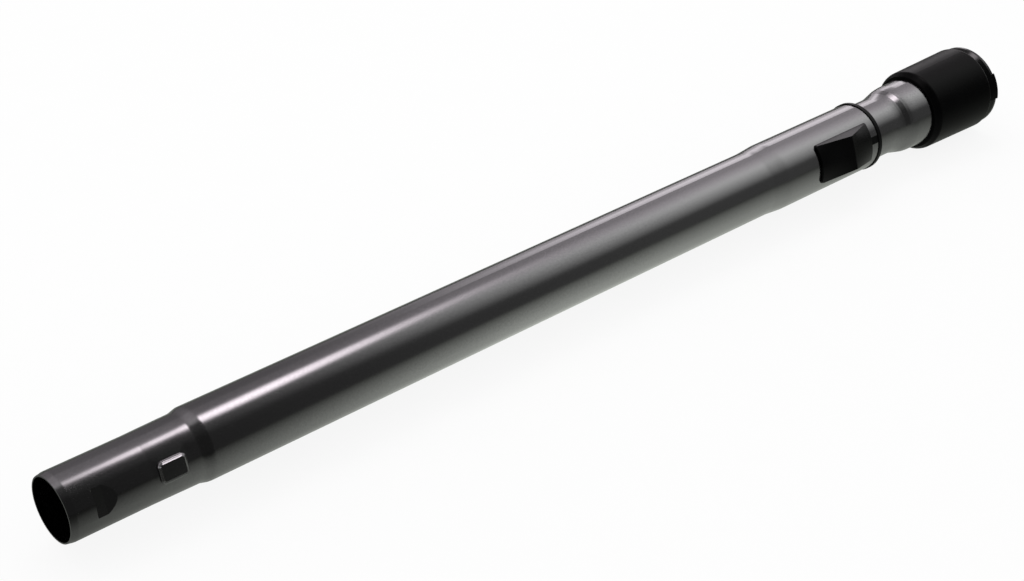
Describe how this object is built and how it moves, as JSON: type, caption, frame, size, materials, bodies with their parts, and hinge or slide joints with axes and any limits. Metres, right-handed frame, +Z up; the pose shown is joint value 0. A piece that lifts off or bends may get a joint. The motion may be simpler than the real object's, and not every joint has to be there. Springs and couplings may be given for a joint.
{
  "type": "telescopic vacuum wand",
  "caption": "Two-part steel vacuum wand that telescopes by a notch row and a thumb slide, with a latch spigot at the head end and a keyed socket collar at the handle end.",
  "frame": {"origin": "centre of the open tip of the outer tube, on the wand's axis", "axes": "+X along the wand from the head end to the handle collar, +Z up, -Y towards the side whose upper part carries the latch pocket, button and hood (the key line lies 19 degrees above -Y)"},
  "size_m": [0.648, 0.0518, 0.0508],
  "materials": {
    "tube_steel": "dark satin chrome on drawn steel sheet",
    "bright_steel": "plain steel",
    "gloss_black": "polished moulding",
    "black_moulding": "satin moulding",
    "seal_rubber": "dull elastomer"
  },
  "bodies": {
    "barrel": {"outer_tube": "tube_steel", "guide_sleeve": "black_moulding", "return_spring": "bright_steel"},
    "rod": {"inner_tube": "tube_steel", "end_bush_upper": "black_moulding", "end_bush_lower": "black_moulding", "lip_seal": "seal_rubber", "collar": "gloss_black", "retaining_ring": "bright_steel", "socket_liner": "black_moulding", "socket_seal": "seal_rubber"},
    "thumb_slide": {"release_button": "gloss_black", "control_slide": "bright_steel"},
    "latch": {"lock_roller": "bright_steel", "roller_axle": "bright_steel"}
  },
  "joints": [
    {"name": "tube_slide", "type": "slide", "parent": "barrel", "child": "rod", "axis": [1, 0, 0], "range_m": [0, 0.378]},
    {"name": "button_slide", "type": "slide", "parent": "barrel", "child": "thumb_slide", "axis": [1, 0, 0], "range_m": [0, 0.006], "stiffness_N_per_m": 400, "springref_m": -0.004, "deforming": ["return_spring"]},
    {"name": "roller_lift", "type": "slide", "parent": "barrel", "child": "latch", "axis": [0, -0.9455, 0.3256], "range_m": [0, 0.0013]}
  ],
  "couplings": [
    {"joint": "roller_lift", "follows": "button_slide", "ratio": 0.21666}
  ]
}
